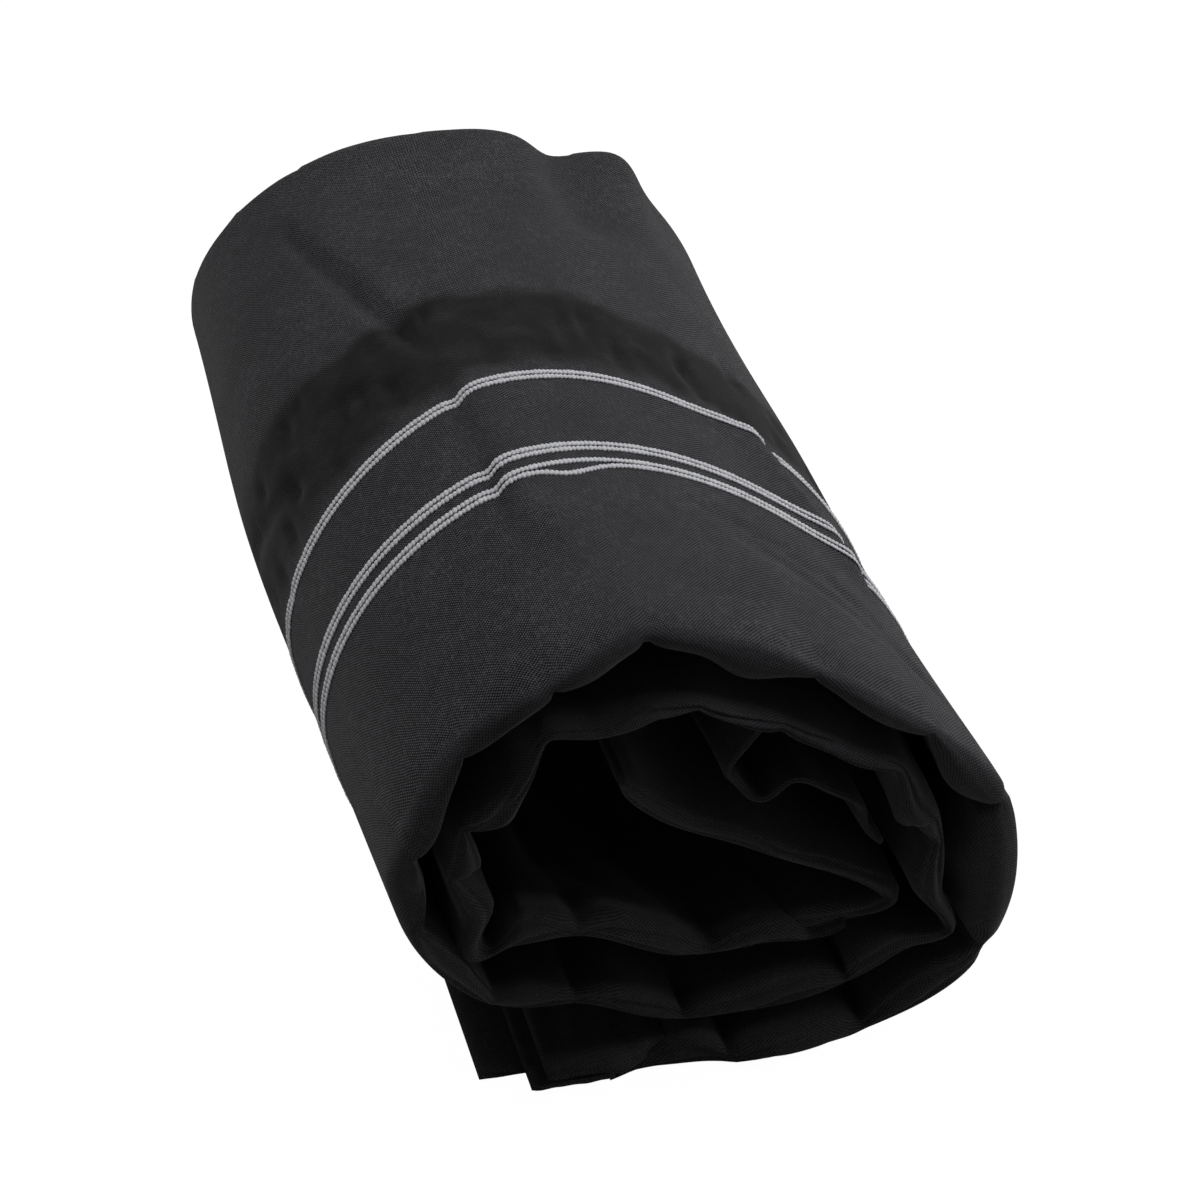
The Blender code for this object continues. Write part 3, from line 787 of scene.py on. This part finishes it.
def white_floats_tree():
    """Geometry nodes that lay one white float on each point of a stripe's two cords."""
    tree = bpy.data.node_groups.new("white_floats", "GeometryNodeTree")
    face = tree.interface
    face.new_socket("Points", in_out="INPUT", socket_type="NodeSocketGeometry")
    face.new_socket("Float Size", in_out="INPUT", socket_type="NodeSocketVector")
    face.new_socket("Unevenness", in_out="INPUT", socket_type="NodeSocketFloat")
    face.new_socket("Yarn", in_out="INPUT", socket_type="NodeSocketMaterial")
    face.new_socket("Floats", in_out="OUTPUT", socket_type="NodeSocketGeometry")
    given = add_node(tree, "NodeGroupInput").outputs
    ball = add_node(tree, "GeometryNodeMeshUVSphere", inputs={"Segments": 8, "Rings": 5, "Radius": 0.5})
    shaped = add_node(
        tree, "GeometryNodeTransform", inputs={"Geometry": ball.outputs[0], "Scale": given["Float Size"]})
    vector = {"data_type": "FLOAT_VECTOR"}
    along = add_node(tree, "GeometryNodeInputNamedAttribute", vector, {"Name": "along"})
    out = add_node(tree, "GeometryNodeInputNamedAttribute", vector, {"Name": "out"})
    first = add_node(tree, "FunctionNodeAlignRotationToVector", {"axis": "X"}, {"Vector": along.outputs[0]})
    second = add_node(
        tree, "FunctionNodeAlignRotationToVector", {"axis": "Z", "pivot_axis": "X"},
        {"Rotation": first.outputs[0], "Vector": out.outputs[0]})
    less = add_node(tree, "ShaderNodeMath", {"operation": "SUBTRACT"}, {0: 1.0, 1: given["Unevenness"]})
    size = add_node(
        tree, "FunctionNodeRandomValue", {"data_type": "FLOAT"}, {2: less.outputs[0], 3: 1.0, "Seed": SEED})
    laid = add_node(
        tree, "GeometryNodeInstanceOnPoints",
        inputs={"Points": given["Points"], "Instance": shaped.outputs[0], "Rotation": second.outputs[0],
                "Scale": size.outputs[1]})
    real = add_node(tree, "GeometryNodeRealizeInstances", inputs={"Geometry": laid.outputs[0]})
    soft = add_node(tree, "GeometryNodeSetShadeSmooth", inputs={"Geometry": real.outputs[0]})
    dyed = add_node(
        tree, "GeometryNodeSetMaterial", inputs={"Geometry": soft.outputs[0], "Material": given["Yarn"]})
    add_node(tree, "NodeGroupOutput", inputs={"Floats": dyed.outputs[0]})
    return tree


FLOATS = white_floats_tree()


def stripe(name, sizes, parting=0.0):
    """One stripe: two cords of white floats side by side, laid on the outer ply round the roll."""
    fine = np.linspace(*STRIPE_TURNS, 3000)
    places = []
    alongs = []
    outs = []
    for side in (-1, 1):
        parted = parting * bump(fine, PARTING_TURN, PARTING_SPAN) * (side < 0)
        y = stripe_line(fine, sizes) + side * CORD_OFFSET - parted
        points, normals = outer_surface(fine, y)
        run = run_along(points)
        at = np.arange(side * 0.25 * FLOAT_PITCH + FLOAT_PITCH, run[-1], FLOAT_PITCH)
        place = np.column_stack([np.interp(at, run, points[:, axis]) for axis in range(3)])
        out = np.column_stack([np.interp(at, run, normals[:, axis]) for axis in range(3)])
        places.append(place + out * FLOAT_LIFT)
        slant = np.zeros_like(out)
        slant[:, 1] = FLOAT_SLANT
        alongs.append(np.gradient(place, axis=0) / FLOAT_PITCH + slant)
        outs.append(out)
    mesh = bpy.data.meshes.new(name + "_points")
    mesh.from_pydata(np.vstack(places).tolist(), [], [])
    for label, values in (("along", alongs), ("out", outs)):
        attribute = mesh.attributes.new(label, "FLOAT_VECTOR", "POINT")
        attribute.data.foreach_set("vector", np.vstack(values).astype(np.float32).ravel())
    holder = bpy.data.objects.new(name + "_points", mesh)
    bpy.context.scene.collection.objects.link(holder)
    modifier = holder.modifiers.new("floats", "NODES")
    modifier.node_group = FLOATS
    names = {item.name: item.identifier for item in FLOATS.interface.items_tree if item.in_out == "INPUT"}
    modifier[names["Float Size"]] = FLOAT_SIZE
    modifier[names["Unevenness"]] = FLOAT_UNEVENNESS
    modifier[names["Yarn"]] = YARN
    bpy.context.view_layer.update()
    graph = bpy.context.evaluated_depsgraph_get()
    real = bpy.data.meshes.new_from_object(holder.evaluated_get(graph))
    bpy.data.objects.remove(holder, do_unlink=True)
    piece = bpy.data.objects.new(name, real)
    bpy.context.scene.collection.objects.link(piece)
    return piece


roll = wound_cloth()
roll.data.materials.append(COTTON)
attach(roll, "roll")
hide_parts("wound_cloth")

flap = inner_end()
flap.data.materials.append(COTTON)
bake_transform(flap)
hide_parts("inner_end_fold")

crumple = loose_inner_ply()
crumple.data.materials.append(COTTON)
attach(crumple, "roll")

# Tail plies: heights in mm at shares of the way from root to free edge, and their places
TAIL_PLIES = {
    "tail_top_cloth": dict(
        top=((0, 0.35, 0.6, 1), (4.6, 4.5, 4.1, 3.4)), bottom=((0, 0.35, 0.6, 1), (0.3, 0.3, 2.0, 2.1)),
        root=SECTION_SHIFT - 1.0 * MM, tip=SECTION_SHIFT - 19.0 * MM,
        near=NEAR_Y + 1.3 * MM, far=FAR_Y - 2 * MM, ripple=0.25 * MM),
    "tail_middle_cloth": dict(
        top=((0, 0.5, 1), (1.9, 1.8, 1.9)), bottom=((0, 0.5, 1), (1.2, 1.1, 1.2)),
        root=SECTION_SHIFT - 9.0 * MM, tip=SECTION_SHIFT - 21.4 * MM,
        near=NEAR_Y + 1.0 * MM, far=FAR_Y - 3 * MM, ripple=0.12 * MM),
    "tail_under_cloth": dict(
        top=((0, 0.5, 1), (1.0, 0.9, 1.0)), bottom=((0, 0.5, 1), (0.15, 0.1, 0.15)),
        root=SECTION_SHIFT - 9.0 * MM, tip=SECTION_SHIFT - 27.7 * MM,
        near=NEAR_Y + 6.0 * MM, far=FAR_Y - 6 * MM, ripple=0.05 * MM),
}
for name, sizes in TAIL_PLIES.items():
    ply = tail_ply(name, **sizes)
    ply.data.materials.append(COTTON)
    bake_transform(ply)
    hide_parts(name.replace("cloth", "ply"))

for name, sizes, parting in (
        ("single_stripe", SINGLE_STRIPE, 0.0),
        ("pair_stripe_far", PAIR_FAR, 0.0),
        ("pair_stripe_near", PAIR_NEAR, 1.9 * MM)):
    band = stripe(name + "_floats", sizes, parting)
    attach(band, "roll")
    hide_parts(name)


FLOOR_REACH = 3.0
FLOOR_DROP = 0.05 * MM
FLOOR_GREY = (0.42, 0.42, 0.42, 1)
FLOOR_WHITE = 1.16
FLOOR_GLOW_SHARE = 0.85


def stage_floor():
    """Plain white table top, seen white by the camera with a soft shadow under the roll."""
    mesh = bpy.data.meshes.new("floor")
    corners = [(-1, -1), (1, -1), (1, 1), (-1, 1)]
    mesh.from_pydata([(x * FLOOR_REACH, y * FLOOR_REACH, 0) for x, y in corners], [], [(0, 1, 2, 3)])
    floor = bpy.data.objects.new("floor", mesh)
    floor.location.z = -FLOOR_DROP
    bpy.context.scene.collection.objects.link(floor)
    material, tree, shader = new_material("white_table_top")
    shader.inputs["Base Color"].default_value = FLOOR_GREY
    shader.inputs["Roughness"].default_value = 0.9
    shader.inputs["Specular IOR Level"].default_value = 0.0
    glow = add_node(tree, "ShaderNodeEmission", inputs={"Strength": FLOOR_WHITE})
    seen = add_node(tree, "ShaderNodeLightPath").outputs["Is Camera Ray"]
    part = add_node(tree, "ShaderNodeMath", {"operation": "MULTIPLY"}, {0: seen, 1: FLOOR_GLOW_SHARE})
    mix = add_node(
        tree, "ShaderNodeMixShader", inputs={0: part.outputs[0], 1: shader.outputs[0], 2: glow.outputs[0]})
    tree.links.new(mix.outputs[0], tree.nodes["Material Output"].inputs["Surface"])
    mesh.materials.append(material)


# Soft boxes: name, place, size in metres and power in watts; both face the middle of the roll
SOFT_BOXES = (
    ("overhead_soft_box", (-0.45, 1.60, 3.20), 2.70, 66.0),
    ("right_soft_box", (1.0, -0.02, 0.75), 0.7, 5.6),
)
ROLL_MIDDLE = (0, 0, 0.04)

# Surround, as the cloth sees it: strength at the horizon and high up, and how high that is
SURROUND_LOW = 0.32
SURROUND_HIGH = 0.05
SURROUND_FADE = 0.45


def studio_light():
    """A large soft light above and behind the roll, a weaker one at the right, a surround paler low down."""
    for name, place, size, power in SOFT_BOXES:
        light = bpy.data.lights.new(name, "AREA")
        light.shape = "SQUARE"
        light.size = size
        light.energy = power
        lamp = bpy.data.objects.new(name, light)
        lamp.location = place
        lamp.rotation_euler = direction_euler(np.array(ROLL_MIDDLE) - np.array(place))
        bpy.context.scene.collection.objects.link(lamp)
    world = bpy.data.worlds.new("pale_surround")
    world.use_nodes = True
    tree = world.node_tree
    background = tree.nodes["Background"]
    seen = add_node(tree, "ShaderNodeLightPath").outputs["Is Camera Ray"]
    direction = add_node(tree, "ShaderNodeTexCoord").outputs["Generated"]
    upward = add_node(tree, "ShaderNodeSeparateXYZ", inputs={0: direction}).outputs["Z"]
    graded = {"Value": upward, "From Max": SURROUND_FADE, "To Min": SURROUND_LOW, "To Max": SURROUND_HIGH}
    sky = add_node(tree, "ShaderNodeMapRange", inputs=graded).outputs[0]
    strength = add_node(tree, "ShaderNodeMapRange", inputs={"Value": seen, "To Min": sky, "To Max": 1.0})
    tree.links.new(strength.outputs[0], background.inputs["Strength"])
    background.inputs["Color"].default_value = (1, 1, 1, 1)
    bpy.context.scene.world = world


def direction_euler(direction, roll_angle=0.0):
    """Euler angles that point an object's -Z along a direction, with its up side rolled."""
    turned = Vector(direction).to_track_quat("-Z", "Y").to_matrix() @ Matrix.Rotation(roll_angle, 3, "Z")
    return turned.to_euler()


# Camera: degrees, metres, lens in mm and shift as shares of the picture's width
CAMERA_AZIMUTH = -15.0
CAMERA_ELEVATION = 33.8
CAMERA_ROLL = 0.9
CAMERA_DISTANCE = 0.5335
CAMERA_LENS = 105.25
CAMERA_SENSOR = 36.0
CAMERA_TARGET = (SECTION_SHIFT + 4.54 * MM, 0.0, 35.0 * MM)
CAMERA_SHIFT = (25.6 / 1200, -44.2 / 1200)


def photo_camera():
    """Camera at the photograph's viewing angle."""
    azimuth = math.radians(CAMERA_AZIMUTH)
    elevation = math.radians(CAMERA_ELEVATION)
    level = math.cos(elevation)
    back = np.array([math.sin(azimuth) * level, -math.cos(azimuth) * level, math.sin(elevation)])
    data = bpy.data.cameras.new("photo_camera")
    data.sensor_width = CAMERA_SENSOR
    data.lens = CAMERA_LENS
    data.shift_x, data.shift_y = CAMERA_SHIFT
    camera = bpy.data.objects.new("photo_camera", data)
    camera.location = np.array(CAMERA_TARGET) + back * CAMERA_DISTANCE
    camera.rotation_euler = direction_euler(-back, math.radians(CAMERA_ROLL))
    bpy.context.scene.collection.objects.link(camera)
    bpy.context.scene.camera = camera


stage_floor()
studio_light()
photo_camera()
bpy.context.scene.view_settings.view_transform = "Standard"

bpy.context.view_layer.update()
